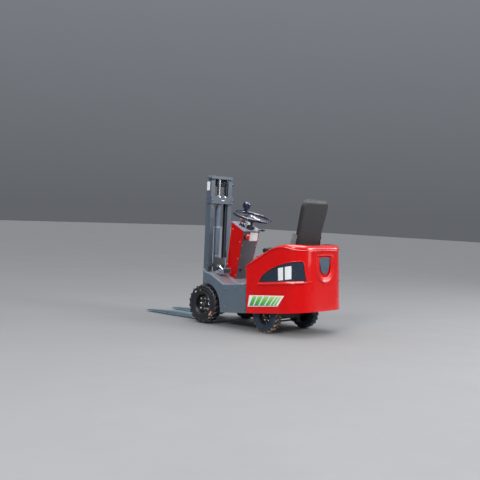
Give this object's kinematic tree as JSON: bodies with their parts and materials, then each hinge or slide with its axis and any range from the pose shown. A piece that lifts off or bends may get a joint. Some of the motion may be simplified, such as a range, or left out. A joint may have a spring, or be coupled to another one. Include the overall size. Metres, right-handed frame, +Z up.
{
  "type": "electric fork lift truck",
  "caption": "Small sit-on electric counterbalance fork lift truck with a two-stage vertical mast, low forks, open steering console and a bulbous rear body carrying the seat.",
  "frame": {"origin": "on the ground under the middle of the overall box", "axes": "+X ahead along the forks, +Y to the truck's left, +Z up"},
  "size_m": [2.396, 0.8608, 1.59],
  "materials": {
    "chassis_grey": "satin paint",
    "floor_grey": "satin paint",
    "body_red": "glossy red",
    "inset_blue_grey": "dark blue-grey, glossy",
    "dark_block": "matt",
    "iron": "cast",
    "axle_black": "satin black",
    "charcoal": "textured paint",
    "dash_grey": "satin paint",
    "column_black": "matt",
    "bright_steel": "bright",
    "knob_red": "glossy",
    "pedal_grey": "satin",
    "seat_vinyl": "vinyl, satin",
    "wheel_black": "semi-gloss",
    "tyre": "rubber",
    "rim_black": "gloss black",
    "mast_grey": "satin paint",
    "cylinder_grey": "satin paint",
    "chain_steel": "oiled",
    "chrome_rod": "polished",
    "fork_steel": "painted, worn"
  },
  "bodies": {
    "chassis": {"chassis_frame": "chassis_grey", "floor_plate": "floor_grey", "rear_body_shell": "body_red", "side_inset_panels": "inset_blue_grey", "tail_recess_panel": "inset_blue_grey", "battery_box_front_panel": "body_red", "battery_block": "dark_block", "counterweight_block": "iron", "front_drive_axle": "axle_black", "rear_axle_beam": "axle_black", "console_side_panels": "body_red", "console_knee_panel": "charcoal", "console_front_panel": "charcoal", "dash_panel": "dash_grey", "steering_column": "column_black", "control_levers": "bright_steel", "emergency_stop_knob": "knob_red", "pedals": "pedal_grey"},
    "seat_hood": {"seat_deck": "body_red", "seat_rails": "bright_steel", "seat_cushion": "seat_vinyl", "seat_backrest": "seat_vinyl"},
    "steering_wheel_body": {"steering_wheel": "wheel_black"},
    "front_left_wheel": {"front_left_tyre": "tyre", "front_left_rim": "rim_black"},
    "front_right_wheel": {"front_right_tyre": "tyre", "front_right_rim": "rim_black"},
    "rear_left_steer": {"rear_left_knuckle": "axle_black"},
    "rear_right_steer": {"rear_right_knuckle": "axle_black"},
    "tie_rod": {"steering_tie_rod": "bright_steel"},
    "rear_left_wheel": {"rear_left_tyre": "tyre", "rear_left_rim": "rim_black"},
    "rear_right_wheel": {"rear_right_tyre": "tyre", "rear_right_rim": "rim_black"},
    "mast_outer": {"outer_mast": "mast_grey", "mast_guard_plate": "charcoal", "lift_cylinder_barrel": "cylinder_grey", "lift_chain_rear": "chain_steel"},
    "mast_inner": {"inner_mast": "mast_grey", "lift_cylinder_rod": "chrome_rod", "lift_chain_front": "chain_steel"},
    "carriage": {"fork_carriage": "mast_grey", "fork_left": "fork_steel", "fork_right": "fork_steel"},
    "tilt_barrels": {"tilt_cylinder_barrels": "cylinder_grey"},
    "tilt_rods": {"tilt_cylinder_rods": "chrome_rod"}
  },
  "joints": [
    {"name": "front_left_spin", "type": "hinge", "parent": "chassis", "child": "front_left_wheel", "pos_m": [0.138, 0.34, 0.208], "axis": [0, 1, 0], "continuous": true},
    {"name": "front_right_spin", "type": "hinge", "parent": "chassis", "child": "front_right_wheel", "pos_m": [0.138, -0.34, 0.208], "axis": [0, 1, 0], "continuous": true},
    {"name": "steer_left", "type": "hinge", "parent": "chassis", "child": "rear_left_steer", "pos_m": [-0.707, 0.195, 0.1615], "axis": [0, 0, 1], "range_deg": [-30, 30]},
    {"name": "steer_right", "type": "hinge", "parent": "chassis", "child": "rear_right_steer", "pos_m": [-0.707, -0.195, 0.1615], "axis": [0, 0, 1], "range_deg": [-30, 30]},
    {"name": "tie_rod_eye", "type": "hinge", "parent": "rear_left_steer", "child": "tie_rod", "pos_m": [-0.629, 0.195, 0.1], "axis": [0, 0, 1], "range_deg": [-30, 30]},
    {"name": "rear_left_spin", "type": "hinge", "parent": "rear_left_steer", "child": "rear_left_wheel", "pos_m": [-0.707, 0.313, 0.1615], "axis": [0, 1, 0], "continuous": true},
    {"name": "rear_right_spin", "type": "hinge", "parent": "rear_right_steer", "child": "rear_right_wheel", "pos_m": [-0.707, -0.313, 0.1615], "axis": [0, 1, 0], "continuous": true},
    {"name": "steering_wheel_turn", "type": "hinge", "parent": "chassis", "child": "steering_wheel_body", "pos_m": [-0.176, 0, 1.16], "axis": [-0.2588, 0, 0.9659], "range_deg": [-540, 540]},
    {"name": "seat_hood_hinge", "type": "hinge", "parent": "chassis", "child": "seat_hood", "pos_m": [-0.474, 0, 0.75], "axis": [0, 1, 0], "range_deg": [0, 45]},
    {"name": "mast_tilt", "type": "hinge", "parent": "chassis", "child": "mast_outer", "pos_m": [0.234, 0, 0.212], "axis": [0, 1, 0], "range_deg": [-6, 3]},
    {"name": "mast_lift", "type": "slide", "parent": "mast_outer", "child": "mast_inner", "axis": [0, 0, 1], "range_m": [0, 1.05]},
    {"name": "carriage_lift", "type": "slide", "parent": "mast_inner", "child": "carriage", "axis": [0, 0, 1], "range_m": [0, 1.05]},
    {"name": "tilt_cylinder_swing", "type": "hinge", "parent": "chassis", "child": "tilt_barrels", "pos_m": [0.026, 0, 0.47], "axis": [0, 1, 0], "range_deg": [-6, 4]},
    {"name": "tilt_cylinder_stroke", "type": "slide", "parent": "tilt_barrels", "child": "tilt_rods", "axis": [0.8359, 0, 0.5488], "range_m": [-0.04, 0.03]}
  ],
  "couplings": [
    {"joint": "steer_right", "follows": "steer_left", "ratio": 1},
    {"joint": "tie_rod_eye", "follows": "steer_left", "ratio": -1},
    {"joint": "steering_wheel_turn", "follows": "steer_left", "ratio": -18},
    {"joint": "carriage_lift", "follows": "mast_lift", "ratio": 1},
    {"joint": "tilt_cylinder_swing", "follows": "mast_tilt", "ratio": 0.8924},
    {"joint": "tilt_cylinder_stroke", "follows": "mast_tilt", "m_per_rad": 0.33033}
  ]
}
